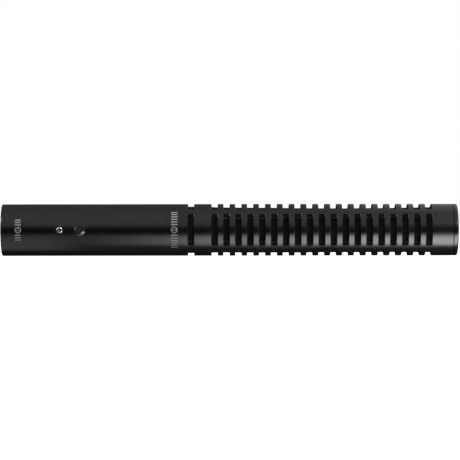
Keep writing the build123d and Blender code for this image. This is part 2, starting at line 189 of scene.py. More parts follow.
# %% Sky: white to the camera, a ramp of brightness to reflections
world = bpy.data.worlds.new("studio")
world.use_nodes = True
sky = world.node_tree
sky.nodes.clear()
direction = put(sky, "ShaderNodeTexCoord").outputs["Generated"]
way = put(sky, "ShaderNodeSeparateXYZ", {0: direction})
ramp = put(sky, "ShaderNodeValToRGB", {0: maths(sky, "MULTIPLY_ADD", way.outputs["Z"], 0.5, 0.5)})
SKY_RAMP = (  # (sine of the height above the horizon, brightness)
    (-1.00, 0.16), (-0.20, 0.00), (0.10, 0.00), (0.42, 0.60), (1.00, 0.63),
)
BEHIND_LEVEL = 0.16
BEHIND_FROM_TO = (-0.5, 0.9)  # parts of the way past the microphone
WINDOW_LEVEL = 4.0
WINDOW_OPENS = (0.12, 0.32)  # parts of the way towards the front end
WINDOW_CLOSES = (0.34, 0.48)
stops = ramp.color_ramp.elements
while len(stops) < len(SKY_RAMP):
    stops.new(0.5)
for stop, (sine, brightness) in zip(stops, SKY_RAMP):
    stop.position = sine / 2 + 0.5
    stop.color = (brightness, brightness, brightness, 1)
behind = put(sky, "ShaderNodeMapRange", {
    "Value": way.outputs["Y"], "From Min": BEHIND_FROM_TO[0], "From Max": BEHIND_FROM_TO[1],
    "To Min": 1.0, "To Max": BEHIND_LEVEL})
window = maths(
    sky, "MULTIPLY", spread_over(sky, way.outputs["X"], *WINDOW_OPENS, 0.0, WINDOW_LEVEL),
    spread_over(sky, way.outputs["X"], *WINDOW_CLOSES, 1.0, 0.0))
strength = maths(sky, "MULTIPLY", behind.outputs["Result"], maths(sky, "ADD", window, 1.0))
seen = put(sky, "ShaderNodeBackground", {"Color": (1, 1, 1, 1), "Strength": 1.0})
mirrored = put(sky, "ShaderNodeBackground", {
    "Color": ramp.outputs["Color"], "Strength": strength})
by_ray = put(sky, "ShaderNodeMixShader", {
    0: put(sky, "ShaderNodeLightPath").outputs["Is Camera Ray"],
    1: mirrored.outputs[0], 2: seen.outputs[0],
})
put(sky, "ShaderNodeOutputWorld", {"Surface": by_ray.outputs[0]})
bpy.context.scene.world = world
bpy.context.scene.view_settings.view_transform = "Standard"
print("sky ramp of", len(SKY_RAMP), "stops")

# %% Floor: pale, seen from above only
def new_material(name):
    """An empty node material: the material and its tree."""
    material = bpy.data.materials.new(name)
    material.use_nodes = True
    material.node_tree.nodes.clear()
    return material, material.node_tree


def object_from(bm, name, material):
    """Turn a finished bmesh into an object that sits at the origin."""
    mesh = bpy.data.meshes.new(name)
    bm.to_mesh(mesh)
    bm.free()
    made = bpy.data.objects.new(name, mesh)
    bpy.context.scene.collection.objects.link(made)
    mesh.materials.append(material)
    return made


FLOOR_HALF = 4.0
FLOOR_GAP = 0.05 * MM
FLOOR_GLOW = 0.85
floor_paint, tree = new_material("floor_paint")
lit = put(tree, "ShaderNodeBsdfDiffuse", {"Color": (0.80, 0.80, 0.80, 1)})
glow = put(tree, "ShaderNodeEmission", {"Color": (1, 1, 1, 1), "Strength": FLOOR_GLOW})
bright = put(tree, "ShaderNodeAddShader", {0: lit.outputs[0], 1: glow.outputs[0]})
clear = put(tree, "ShaderNodeBsdfTransparent")
under = put(tree, "ShaderNodeNewGeometry").outputs["Backfacing"]
side = put(tree, "ShaderNodeMixShader", {0: under, 1: bright.outputs[0], 2: clear.outputs[0]})
put(tree, "ShaderNodeOutputMaterial", {"Surface": side.outputs[0]})

bm = bmesh.new()
bmesh.ops.create_grid(bm, x_segments=1, y_segments=1, size=FLOOR_HALF)
bmesh.ops.translate(bm, verts=bm.verts, vec=(0, 0, -BARREL_R - FLOOR_GAP))
floor = object_from(bm, "floor", floor_paint)
for ray in ("visible_glossy", "visible_diffuse", "visible_shadow"):
    setattr(floor, ray, False)
floor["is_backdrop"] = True
print("floor at", round((-BARREL_R - FLOOR_GAP) / MM, 2), "mm")

# %% [markdown]
# ## Cards and lamps
# A stripe of light on a tube is the picture of something long beside it. Four glowing cards stand
# round the microphone and can be seen only in its surface: the softbox and its bright far end make
# the stripe, one lifts the rear end, and a faint one at the back draws the top edge near the
# front. Three lamps do the rest: the floor's shadow, the glint in the screws and the sheen of the
# rims.

# %% Glowing cards, each one-sided and see-through
CARD_DISTANCE = 0.15
CARD_MAP = "across"


def glowing_card(name, angle, size, middle_x, strength, dark_x, full_x, softness):
    """A one-sided see-through card round the axis at angle; it brightens from dark_x to full_x."""
    paint, tree = new_material(name)
    place = put(tree, "ShaderNodeTexCoord").outputs["Object"]
    along = put(tree, "ShaderNodeSeparateXYZ", {0: place}).outputs["X"]
    growth = spread_over(tree, along, dark_x, full_x, 0.0, strength)
    edge = put(tree, "ShaderNodeUVMap", uv_map=CARD_MAP).outputs["UV"]
    across = put(tree, "ShaderNodeSeparateXYZ", {0: edge}).outputs["Y"]
    from_edge = maths(tree, "PINGPONG", across, 0.5)
    power = maths(tree, "MULTIPLY", growth, spread_over(tree, from_edge, 0.0, softness))
    backfacing = put(tree, "ShaderNodeNewGeometry").outputs["Backfacing"]
    power = maths(tree, "MULTIPLY", power, maths(tree, "SUBTRACT", 1.0, backfacing))
    glow = put(tree, "ShaderNodeEmission", {"Strength": power})
    clear = put(tree, "ShaderNodeBsdfTransparent")
    both = put(tree, "ShaderNodeAddShader", {0: glow.outputs[0], 1: clear.outputs[0]})
    put(tree, "ShaderNodeOutputMaterial", {"Surface": both.outputs[0]})

    bm = bmesh.new()
    bm.loops.layers.uv.new(CARD_MAP)
    bmesh.ops.create_grid(bm, x_segments=1, y_segments=1, size=0.5, calc_uvs=True)
    bmesh.ops.scale(bm, verts=bm.verts, vec=(*size, 1))
    bmesh.ops.translate(bm, verts=bm.verts, vec=(middle_x, 0, -CARD_DISTANCE))
    bmesh.ops.rotate(bm, verts=bm.verts, matrix=Matrix.Rotation(-angle - math.pi / 2, 3, "X"))
    card = object_from(bm, name, paint)
    card.visible_camera = card.visible_diffuse = False
    card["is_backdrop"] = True
    print(name, [round(x / MM) for x in size], "mm")


CARDS = (  # name, degrees round the axis, (length, width), middle, strength, dark, full, softness
    ("softbox", -48, (0.40, 0.21), 0.05, 8.0, -0.085, 0.105, 0.42),
    ("front_card", -49, (0.40, 0.21), 0.45, 14.0, 0.20, 0.50, 0.42),
    ("rear_card", -60, (0.13, 0.36), -0.14, 0.70, -0.045, -0.085, 0.38),
    ("back_card", 130, (0.30, 0.30), 0.18, 0.42, 0.02, 0.10, 0.15),
)
for name, degrees, *shape in CARDS:
    glowing_card(name, math.radians(degrees), *shape)

# %% Lamps: the ceiling, one for the screws and one at the side
def area_light(name, place, aim, size, power, unseen_by):
    """A square light at place, turned to aim, hidden from the camera and from unseen_by."""
    data = bpy.data.lights.new(name, "AREA")
    data.size = size
    data.energy = power
    lamp = bpy.data.objects.new(name, data)
    lamp.location = place
    lamp.rotation_euler = (Vector(aim) - Vector(place)).to_track_quat("-Z", "Y").to_euler()
    for ray in ("camera", unseen_by):
        setattr(lamp, "visible_" + ray, False)
    bpy.context.scene.collection.objects.link(lamp)


LAMPS = (  # name, place, aim, width, watts, rays that don't meet it
    ("ceiling", (0.15, -0.25, 1.1), (0, 0, 0), 1.0, 2.0, "glossy"),
    ("screw_light", (-0.42, -0.22, 0.30), (LOCK_X, -BARREL_R, 0), 0.16, 2.2, "diffuse"),
    ("side_light", (0.80, -0.75, 0.60), (0, 0, 0), 0.25, 3.0, "transmission"),
)
for lamp_settings in LAMPS:
    area_light(*lamp_settings)
print(len(LAMPS), "lamps")

# %% [markdown]
# ## Shared surface effects
# The tube is blasted with fine beads before it is anodised, turned parts keep faint tool rings,
# handled parts get smudges, corners polish through first, and dust settles on what faces up. Each
# is a group that puts out plain numbers, so any finish can use it for colour, roughness or bump.

# %% Blasted grain
blasted_grain, given, result = new_group(
    "blasted_grain", [("Grains per metre", 9000.0)], ["Height", "Patch"])
place = put(blasted_grain, "ShaderNodeTexCoord").outputs["Object"]
fine = put(blasted_grain, "ShaderNodeTexNoise", {
    "Vector": place, "Scale": given.outputs["Grains per metre"], "Detail": 2.0, "Roughness": 0.6})
broad = put(blasted_grain, "ShaderNodeTexNoise", {"Vector": place, "Scale": 140.0, "Detail": 4.0})
blasted_grain.links.new(fine.outputs["Fac"], result.inputs["Height"])
blasted_grain.links.new(broad.outputs["Fac"], result.inputs["Patch"])
print("group", blasted_grain.name)

# %% Tool rings on turned parts, which all share the barrel's axis
tool_rings, given, result = new_group("tool_rings", [("Rings per metre", 12000.0)], ["Height"])
place = put(tool_rings, "ShaderNodeTexCoord").outputs["Object"]
stretched = put(tool_rings, "ShaderNodeMapping", {"Vector": place, "Scale": (1.0, 0.01, 0.01)})
rings = put(tool_rings, "ShaderNodeTexNoise", {
    "Vector": stretched.outputs[0], "Scale": given.outputs["Rings per metre"], "Detail": 3.0})
tool_rings.links.new(rings.outputs["Fac"], result.inputs["Height"])
print("group", tool_rings.name)

# %% Smudges from handling, long ones along the tube
handling, given, result = new_group("handling", [("Amount", 0.5)], ["Smudge"])
place = put(handling, "ShaderNodeTexCoord").outputs["Object"]
stretched = put(handling, "ShaderNodeMapping", {"Vector": place, "Scale": (0.45, 1.0, 1.0)})
blots = put(handling, "ShaderNodeTexNoise", {
    "Vector": stretched.outputs[0], "Scale": 210.0, "Detail": 5.0, "Distortion": 0.7})
edge = spread_over(handling, blots.outputs["Fac"], 0.50, 0.70)
handling.links.new(maths(handling, "MULTIPLY", edge, given.outputs["Amount"]),
                   result.inputs["Smudge"])
print("group", handling.name)

# %% Corners that have rubbed bright
worn_edges, given, result = new_group("worn_edges", [("Reach", 0.0002), ("Amount", 1.0)], ["Wear"])
soft = put(worn_edges, "ShaderNodeBevel", {"Radius": given.outputs["Reach"]}, samples=4)
hard = put(worn_edges, "ShaderNodeNewGeometry").outputs["Normal"]
alike = put(worn_edges, "ShaderNodeVectorMath", {0: soft.outputs[0], 1: hard},
            operation="DOT_PRODUCT").outputs["Value"]
corner = spread_over(worn_edges, maths(worn_edges, "SUBTRACT", 1.0, alike), 0.01, 0.22)
place = put(worn_edges, "ShaderNodeTexCoord").outputs["Object"]
broken = put(worn_edges, "ShaderNodeTexNoise", {"Vector": place, "Scale": 700.0, "Detail": 3.0})
chance = spread_over(worn_edges, broken.outputs["Fac"], 0.38, 0.62)
worn = maths(worn_edges, "MULTIPLY", maths(worn_edges, "MULTIPLY", corner, chance),
             given.outputs["Amount"])
worn_edges.links.new(worn, result.inputs["Wear"])
print("group", worn_edges.name)

# %% Dust on what faces up
settled_dust, given, result = new_group("settled_dust", [("Amount", 0.3)], ["Dust"])
up = put(settled_dust, "ShaderNodeSeparateXYZ", {
    0: put(settled_dust, "ShaderNodeNewGeometry").outputs["Normal"]}).outputs["Z"]
place = put(settled_dust, "ShaderNodeTexCoord").outputs["Object"]
specks = put(settled_dust, "ShaderNodeTexNoise", {"Vector": place, "Scale": 3500.0, "Detail": 2.0})
speck = spread_over(settled_dust, specks.outputs["Fac"], 0.62, 0.70)
facing = spread_over(settled_dust, up, 0.2, 0.9)
dust = maths(settled_dust, "MULTIPLY", maths(settled_dust, "MULTIPLY", speck, facing),
             given.outputs["Amount"])
settled_dust.links.new(dust, result.inputs["Dust"])
print("group", settled_dust.name)

# %% Plain weave, over under over under, in the cloth's own metres
plain_weave, given, result = new_group(
    "plain_weave", [("Cloth", None), ("Threads per metre", 3300.0)], ["Height", "Thread"])
across = put(plain_weave, "ShaderNodeSeparateXYZ", {0: given.outputs["Cloth"]})
turns = [maths(plain_weave, "MULTIPLY", across.outputs[axis], given.outputs["Threads per metre"])
         for axis in ("X", "Y")]
waves = [maths(plain_weave, "SINE", maths(plain_weave, "MULTIPLY", turn, math.pi))
         for turn in turns]
over = maths(plain_weave, "MULTIPLY", waves[0], waves[1])
warp = maths(plain_weave, "MULTIPLY", maths(plain_weave, "ABSOLUTE", waves[0]),
             maths(plain_weave, "MULTIPLY_ADD", over, 0.5, 0.5))
weft = maths(plain_weave, "MULTIPLY", maths(plain_weave, "ABSOLUTE", waves[1]),
             maths(plain_weave, "MULTIPLY_ADD", over, -0.5, 0.5))
top = maths(plain_weave, "MAXIMUM", warp, weft)
plain_weave.links.new(top, result.inputs["Height"])
# Thread is the weave's height with an uneven tone along it; used as a colour, it paints shade into
# the hollows between and under threads.
slub = put(plain_weave, "ShaderNodeTexNoise", {
    "Vector": given.outputs["Cloth"], "Scale": 900.0, "Detail": 2.0})
plain_weave.links.new(maths(plain_weave, "MULTIPLY", top, slub.outputs["Fac"]),
                      result.inputs["Thread"])
print("group", plain_weave.name)

# %% [markdown]
# ## Black anodised skin
# Anodising grows a clear oxide layer on the blasted aluminium and dyes it black. It isn't paint:
# it is very dark, satin, and reflects about as much as glass does, softened by the blasting. A
# painted highlight sits at one side of the countersink: a crescent of bare metal colour, placed
# only where the glint of a lamp falls, which then reflects the lamps. It lies inside one circle
# and outside another, both measured from the screw's axis in the object's own coordinates, so it
# stays with the hole.

# %% Anodised aluminium
def bump(tree, height, distance, strength=1.0, normal=None):
    """Bump from a height; distance is the relief in metres."""
    sockets = {"Height": height, "Distance": distance, "Strength": strength}
    if normal is not None:
        sockets["Normal"] = normal
    return put(tree, "ShaderNodeBump", sockets).outputs["Normal"]


def principled(tree, **sockets):
    """The surface shader and the material's output; underscores stand for spaces."""
    named = {key.replace("_", " "): value for key, value in sockets.items()}
    shader = put(tree, "ShaderNodeBsdfPrincipled", named)
    put(tree, "ShaderNodeOutputMaterial", {"Surface": shader.outputs[0]})
    return shader


SEAT_R = 2.17 * MM
# Offset of the circle that bounds the painted highlight in the countersink.
GLINT_OFFSET = (0.20 * MM, -0.13 * MM)
DYE = ((0.0040, 0.0040, 0.0043, 1), (0.0065, 0.0065, 0.0069, 1))
# Bare metal colour for the worn corners and for the painted highlight in the countersink.
WORN_AND_GLINT_METAL = (0.62, 0.62, 0.63, 1)
DUST_COLOUR = (0.16, 0.155, 0.15, 1)


def distance_of(tree, *sides):
    """Length of the slanting side over two legs."""
    squares = [maths(tree, "POWER", side, 2.0) for side in sides]
    return maths(tree, "SQRT", maths(tree, "ADD", *squares))


def anodised(name, roughness):
    """Dyed oxide over blasted aluminium, with a painted highlight in the countersink."""
    material, tree = new_material(name)
    grain = use(tree, blasted_grain, Grains_per_metre=8000.0)
    smudge = use(tree, handling, Amount=1.0)["Smudge"]
    wear = use(tree, worn_edges, Reach=0.16 * MM, Amount=0.5)["Wear"]
    dust = use(tree, settled_dust, Amount=0.06)["Dust"]
    place = put(tree, "ShaderNodeSeparateXYZ", {
        0: put(tree, "ShaderNodeTexCoord").outputs["Object"]})
    # Painted highlight: a crescent of bare metal colour in the countersink, only on the side where
    # a lamp's glint falls.
    from_screw = maths(tree, "SUBTRACT", place.outputs["X"], CHASSIS_SCREW_X)
    reach = distance_of(tree, from_screw, place.outputs["Z"])
    offset_reach = distance_of(tree, maths(tree, "ADD", from_screw, GLINT_OFFSET[0]),
                               maths(tree, "ADD", place.outputs["Z"], GLINT_OFFSET[1]))
    inside = maths(tree, "LESS_THAN", reach, SEAT_R)
    outside = maths(tree, "GREATER_THAN", offset_reach, SEAT_R)
    in_front = maths(tree, "LESS_THAN", place.outputs["Y"], 0.0)
    glint_crescent = maths(tree, "MULTIPLY", maths(tree, "MULTIPLY", inside, outside), in_front)
    wear_and_glint = maths(tree, "MAXIMUM", glint_crescent, wear)
    dye = mixed(tree, dust, mixed(tree, grain["Patch"], *DYE), DUST_COLOUR)
    colour = mixed(tree, wear_and_glint, dye, WORN_AND_GLINT_METAL)
    rough = spread_over(tree, grain["Patch"], 0.3, 0.7, roughness * 0.92, roughness * 1.08)
    rough = maths(tree, "SUBTRACT", rough, maths(tree, "MULTIPLY", smudge, 0.03))
    principled(tree, Base_Color=colour, Roughness=rough, Metallic=wear_and_glint,
               Normal=bump(tree, grain["Height"], 0.004 * MM, 0.5))
    return material


finishes = {"anodised_black": anodised("anodised_black", 0.22)}
bezel_skin = anodised("anodised_bezel", 0.16)
print("anodised skin done")

# %% [markdown]
# ## Metals
# The plated and turned pieces differ only in colour, roughness and the marks that their making
# left. One function covers them all, and its tool rings run round the barrel's axis, because that
# is how every ring in a tube is turned. The countersunk screw also has a painted highlight: bright
# metal colour on one side of its head, where the glint of a lamp falls.

# %% Plated, turned and blackened metals
# Bright metal colour for worn corners and for the painted highlight on the chassis screw's head.
WORN_AND_HIGHLIGHT_METAL = (0.72, 0.70, 0.66, 1)
SMUDGE_SHADE = 0.86
# Where the painted highlight sits on the chassis screw's head.
HIGHLIGHT_DIRECTION = (0.71, -0.71)
HIGHLIGHT_AIM = (0.86, 0.95)  # cosines of the angle to that direction
HIGHLIGHT_FROM_TO = (1.00 * MM, 1.40 * MM)


def painted_screw_highlight(tree):
    """A painted highlight on the chassis screw's head: bright metal colour on the side where a
    lamp's glint falls.
    """
    place = put(tree, "ShaderNodeSeparateXYZ", {
        0: put(tree, "ShaderNodeTexCoord").outputs["Object"]})
    from_screw = maths(tree, "SUBTRACT", place.outputs["X"], CHASSIS_SCREW_X)
    reach = distance_of(tree, from_screw, place.outputs["Z"])
    towards = maths(tree, "ADD", maths(tree, "MULTIPLY", from_screw, HIGHLIGHT_DIRECTION[0]),
                    maths(tree, "MULTIPLY", place.outputs["Z"], HIGHLIGHT_DIRECTION[1]))
    aim = spread_over(tree, maths(tree, "DIVIDE", towards, reach), *HIGHLIGHT_AIM)
    return maths(tree, "MULTIPLY", aim, spread_over(tree, reach, *HIGHLIGHT_FROM_TO))


def metal(name, colour, roughness, rings=0.0, grain=0.3, wear=0.0, painted_highlight=None):
    """A metal with tool rings, grain, smudges and paler corners; the last argument adds a painted
    highlight.
    """
    material, tree = new_material(name)
    turned = use(tree, tool_rings, Rings_per_metre=14000.0)["Height"]
    blast = use(tree, blasted_grain, Grains_per_metre=12000.0)
    smudge = use(tree, handling, Amount=0.8)["Smudge"]
    wear_and_highlight = use(tree, worn_edges, Reach=0.12 * MM, Amount=wear)["Wear"]
    # The painted highlight on the screw head joins the worn corners here.
    if painted_highlight:
        wear_and_highlight = maths(tree, "MAXIMUM", wear_and_highlight, painted_highlight(tree))
    darker = tuple(c * SMUDGE_SHADE for c in colour) + (1,)
    shade = mixed(tree, smudge, (*colour, 1), darker)
    shade = mixed(tree, wear_and_highlight, shade, WORN_AND_HIGHLIGHT_METAL)
    rough = spread_over(tree, blast["Patch"], 0.3, 0.7, roughness * 0.85, roughness * 1.15)
    rough = maths(tree, "ADD", rough, maths(tree, "MULTIPLY", smudge, 0.06))
    normal = bump(tree, turned, 0.004 * MM, rings)
    normal = bump(tree, blast["Height"], 0.002 * MM, grain, normal)
    principled(tree, Base_Color=shade, Metallic=1.0, Roughness=rough, Normal=normal)
    return material


finishes["screw_nickel"] = metal("screw_nickel", (0.80, 0.78, 0.74), 0.22, grain=0.2)
finishes["screw_black"] = metal("screw_black", (0.035, 0.034, 0.034), 0.38, wear=0.6,
                                painted_highlight=painted_screw_highlight)
finishes["plated_metal"] = metal("plated_metal", (0.60, 0.59, 0.56), 0.32, rings=0.5)
finishes["brass"] = metal("brass", (0.74, 0.55, 0.26), 0.30, rings=0.6)
finishes["contact_gold"] = metal("contact_gold", (0.90, 0.68, 0.32), 0.20, grain=0.2)
finishes["film_gold"] = metal("film_gold", (0.88, 0.70, 0.36), 0.12, grain=0.1)
finishes["chassis_metal"] = metal("chassis_metal", (0.72, 0.72, 0.73), 0.35, rings=0.7)
finishes["mesh_black"] = metal("mesh_black", (0.05, 0.05, 0.052), 0.36, wear=0.8)
print(len(finishes), "finishes so far")

# %% [markdown]
# ## Plastics, rubber and insulation
# Moulded pieces share a faint texture from the mould and a roughness that drifts a little. The
# glossy ones get a clear coat, which sits on the shader as a constant.

# %% Moulded and dipped pieces
PALE_DUST = (0.3, 0.29, 0.28, 1)


def moulded(name, colour, roughness, texture=0.4, coat=0.0, second=None, band=0.0):
    """A plastic with mould texture; second is a colour that comes in rings of width band."""
    material, tree = new_material(name)
    grain = use(tree, blasted_grain, Grains_per_metre=6000.0)
    dust = use(tree, settled_dust, Amount=0.15)["Dust"]
    paler = tuple(min(1.0, c * 1.18 + 0.002) for c in colour) + (1,)
    shade = mixed(tree, grain["Patch"], (*colour, 1), paler)
    if second:
        place = put(tree, "ShaderNodeTexCoord").outputs["Object"]
        along = put(tree, "ShaderNodeSeparateXYZ", {0: place}).outputs["X"]
        wave = maths(tree, "SINE", maths(tree, "MULTIPLY", along, 2 * math.pi / band))
        shade = mixed(tree, spread_over(tree, wave, 0.55, 0.75), shade, (*second, 1))
    shade = mixed(tree, dust, shade, PALE_DUST)
    rough = spread_over(tree, grain["Patch"], 0.3, 0.7, roughness * 0.9, roughness * 1.1)
    principled(tree, Base_Color=shade, Roughness=rough, Coat_Weight=coat,
               Normal=bump(tree, grain["Height"], 0.006 * MM, texture))
    return material


finishes["insulator_black"] = moulded("insulator_black", (0.018, 0.018, 0.019), 0.42)
finishes["insulator_white"] = moulded("insulator_white", (0.78, 0.77, 0.73), 0.45, 0.2)
finishes["film_clear"] = moulded("film_clear", (0.80, 0.80, 0.77), 0.15, 0.0)
finishes["rubber_black"] = moulded("rubber_black", (0.014, 0.014, 0.014), 0.62, 0.8)
finishes["board_green"] = moulded("board_green", (0.012, 0.085, 0.035), 0.32, 0.15, coat=0.4)
finishes["case_black"] = moulded("case_black", (0.016, 0.016, 0.016), 0.55, 0.7)
finishes["can_sleeve"] = moulded("can_sleeve", (0.012, 0.018, 0.055), 0.30, 0.1, coat=0.3)
finishes["film_case"] = moulded("film_case", (0.38, 0.03, 0.02), 0.28, 0.1, coat=0.5)
finishes["resistor_body"] = moulded(
    "resistor_body", (0.20, 0.42, 0.55), 0.30, 0.1, coat=0.4,
    second=(0.35, 0.10, 0.03), band=0.9 * MM)
finishes["wire_red"] = moulded("wire_red", (0.42, 0.012, 0.010), 0.40, 0.1)
finishes["wire_white"] = moulded("wire_white", (0.76, 0.76, 0.73), 0.40, 0.1)
finishes["wire_black"] = moulded("wire_black", (0.015, 0.015, 0.015), 0.40, 0.1)
print(len(finishes), "finishes so far")

# %% [markdown]
# ## Cloth and felt
# The acoustic cloth is a fine black plain weave. Its threads are drawn from the sleeve's own UV
# map, in metres, so they follow the cloth wherever it sags, and the hollows between and under them
# are painted darker as shade, with an uneven tone along the threads. Felt has no threads: it is a
# tangle, so its bump comes from one fine noise, its low places are painted darker as shade, and
# its fibre ends get some sheen.

# %% Woven cloth and felt
def woven(name, threads, colour):
    """Plain-woven cloth of so many threads per metre; the gaps between them are painted dark as
    shade.
    """
    material, tree = new_material(name)
    cloth = put(tree, "ShaderNodeUVMap", uv_map="cloth_metres").outputs["UV"]
    weave = use(tree, plain_weave, Cloth=cloth, Threads_per_metre=threads)
    # Painted shade: the low places of the weave take a darker copy of the cloth's colour.
    hollow_shade = tuple(c * 0.25 for c in colour) + (1,)
    shade = mixed(tree, spread_over(tree, weave["Thread"], 0.1, 0.6), hollow_shade, (*colour, 1))
    shader = principled(tree, Base_Color=shade, Roughness=0.85,
                        Normal=bump(tree, weave["Height"], 0.05 * MM, 0.8))
    shader.inputs["Specular IOR Level"].default_value = 0.08
    return material


def felted(name, colour):
    """Felt: a tangle of fibres, painted darker in its low places as shade, with a little sheen."""
    material, tree = new_material(name)
    tangle = use(tree, blasted_grain, Grains_per_metre=3800.0)
    # Painted shade: the low places of the tangle take a darker copy of the felt's colour.
    hollow_shade = tuple(c * 0.4 for c in colour) + (1,)
    shade = mixed(tree, spread_over(tree, tangle["Height"], 0.35, 0.65), hollow_shade, (*colour, 1))
    shader = principled(tree, Base_Color=shade, Roughness=0.95,
                        Normal=bump(tree, tangle["Height"], 0.12 * MM, 1.0))
    shader.inputs["Sheen Weight"].default_value = 0.1
    shader.inputs["Sheen Roughness"].default_value = 0.6
    return material


finishes["cloth_black"] = woven("cloth_black", 3300.0, (0.010, 0.010, 0.0105))
finishes["felt_black"] = felted("felt_black", (0.012, 0.012, 0.013))
print(len(finishes), "finishes in all")

# %% Give every node of the working model its finish
for part in frame["record"]["subparts"]:
    nodes[part["node"]].material_slots[0].material = finishes[part["material_slot"]]
nodes["front_bezel"].material_slots[0].material = bezel_skin

# %% [markdown]
# ## Cloth sleeve
# Behind the slots lies a sleeve of acoustic cloth, pulled tight at both ends and under the
# capsule, and drawn in slightly between them. It could be drawn by hand, but a tube of cloth that
# shrinks a few percent while its ends are held makes that waist by itself, with the small
# unevenness of real cloth. The simulation runs on a copy a hundred times larger, where the
# solver's defaults behave.

# %% The sleeve as it is cut and sewn
sleeve_low, sleeve_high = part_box("tube_liner")
SLEEVE_GAP = 0.02 * MM
SLEEVE_R = sleeve_high.y - SLEEVE_GAP
SLEEVE_RINGS = 104
SLEEVE_SIDES = 72
SLEEVE_LENGTH = sleeve_high.x - sleeve_low.x

bm = bmesh.new()
line = [bm.verts.new((sleeve_low.x + SLEEVE_LENGTH * i / SLEEVE_RINGS, SLEEVE_R, 0))
        for i in range(SLEEVE_RINGS + 1)]
edges = [bm.edges.new(pair) for pair in zip(line, line[1:])]
bmesh.ops.spin(bm, geom=line + edges, cent=(0, 0, 0), axis=(1, 0, 0), angle=2 * math.pi,
               steps=SLEEVE_SIDES, use_merge=True)
bmesh.ops.remove_doubles(bm, verts=bm.verts, dist=0.001 * MM)
bmesh.ops.recalc_face_normals(bm, faces=bm.faces)
sleeve = object_from(bm, "cloth_sleeve", finishes["cloth_black"])
print("sleeve of", len(sleeve.data.vertices), "points")

# %% Let the cloth shrink on its holders
SIM_SCALE = 100.0
SIM_FRAMES = 30
HELD_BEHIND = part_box("capsule_holder")[1].x + 0.5 * MM
HELD_AHEAD = sleeve_high.x - 1.5 * MM
LEAST_R = sleeve_high.y - 1.0 * MM
SAG_WEIGHT = 0.15
TIGHTEST_X = FRONT_X - 45 * MM
TIGHT_SPREAD = 32 * MM
LEAST_TIGHT = 0.45
MEAN_PULL = 0.85
PULL_SPREAD = 0.25
PULL_PATCHES = 120.0  # per metre
MOST_SHRINK = 0.046
BENDING = 0.5


def shrunk(piece):
    """Points of the piece after its cloth has shrunk between its holders."""
    cloth = piece.copy()
    cloth.data = piece.data.copy()
    cloth.data.transform(Matrix.Scale(SIM_SCALE, 4))
    bpy.context.scene.collection.objects.link(cloth)
    held = cloth.vertex_groups.new(name="held")
    pull = cloth.vertex_groups.new(name="pull")
    for point in piece.data.vertices:
        if not HELD_BEHIND < point.co.x < HELD_AHEAD:
            held.add([point.index], 1.0, "REPLACE")
        from_tightest = (point.co.x - TIGHTEST_X) / TIGHT_SPREAD
        tightness = LEAST_TIGHT + (1 - LEAST_TIGHT) * math.exp(-from_tightest ** 2)
        unevenness = MEAN_PULL + PULL_SPREAD * noise.noise(point.co * PULL_PATCHES)
        pull.add([point.index], tightness * unevenness, "REPLACE")
    solver = cloth.modifiers.new("cloth", "CLOTH")
    solver.settings.quality = 6
    solver.settings.vertex_group_mass = held.name
    solver.settings.vertex_group_shrink = pull.name
    solver.settings.shrink_min = 0.0
    solver.settings.shrink_max = MOST_SHRINK
    solver.settings.bending_stiffness = BENDING
    solver.settings.effector_weights.gravity = SAG_WEIGHT
    solver.point_cache.frame_end = SIM_FRAMES
    for step in range(1, SIM_FRAMES + 1):
        bpy.context.scene.frame_set(step)
    settled = cloth.evaluated_get(bpy.context.evaluated_depsgraph_get())
    points = [point.co / SIM_SCALE for point in settled.data.vertices]
    bpy.context.scene.frame_set(1)
    bpy.data.objects.remove(cloth)
    return points


for point, moved in zip(sleeve.data.vertices, shrunk(sleeve)):
    radius = math.hypot(moved.y, moved.z)
    kept = min(max(radius, LEAST_R), SLEEVE_R) / radius
    point.co = (moved.x, moved.y * kept, moved.z * kept)
for near in (4, 23, 42, 61, 80):
    found = [p.co.z for p in sleeve.data.vertices if abs(p.co.x - near * MM) < 0.6 * MM]
    print(f"sleeve at {near} mm: top {max(found) / MM:.2f}, bottom {min(found) / MM:.2f}")

# %% Thread directions, thickness and place of the sleeve
CLOTH_THICK = 0.22 * MM

bm = bmesh.new()
bm.from_mesh(sleeve.data)
thread_map = bm.loops.layers.uv.new("cloth_metres")
for face in bm.faces:
    middle = face.calc_center_median()
    turned = math.atan2(middle.z, middle.y)
    for corner in face.loops:
        point = corner.vert.co
        angle = math.atan2(point.z, point.y)
        angle -= 2 * math.pi * round((angle - turned) / (2 * math.pi))
        corner[thread_map].uv = (point.x, angle * SLEEVE_R)
    face.smooth = True
bm.to_mesh(sleeve.data)
bm.free()
wall = sleeve.modifiers.new("wall", "SOLIDIFY")
wall.thickness = CLOTH_THICK
wall.offset = -1.0
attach(sleeve, "root")
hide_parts("tube_liner")

# %% [markdown]
# ## Woven wire in the front ring
# The front opening is covered by stainless wire cloth: wires pass over and under each other, half
# a millimetre thick in all. A flat disc with a bump pattern would look painted from the side, so
# each wire is a curve whose control points alternate in front of and behind the middle plane, and
# the curve's round bevel gives it thickness. A quadratic curve reaches half as far as its control
# points do, so they stand out twice as far as the wire should.

# %% Woven wire disc
mesh_low, mesh_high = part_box("front_mesh")
WIRE_R = 0.11 * MM
WIRE_PITCH = 0.80 * MM
WIRE_END = 0.20 * MM  # least distance from a wire's last crossing to its end
RIM_GAP = 0.03 * MM
MESH_R = mesh_high.y - RIM_GAP
MESH_X = (mesh_low.x + mesh_high.x) / 2

wires = bpy.data.curves.new("wires", "CURVE")
wires.dimensions = "3D"
wires.bevel_depth = WIRE_R
wires.bevel_resolution = 1
wires.resolution_u = 4
wires.use_fill_caps = True


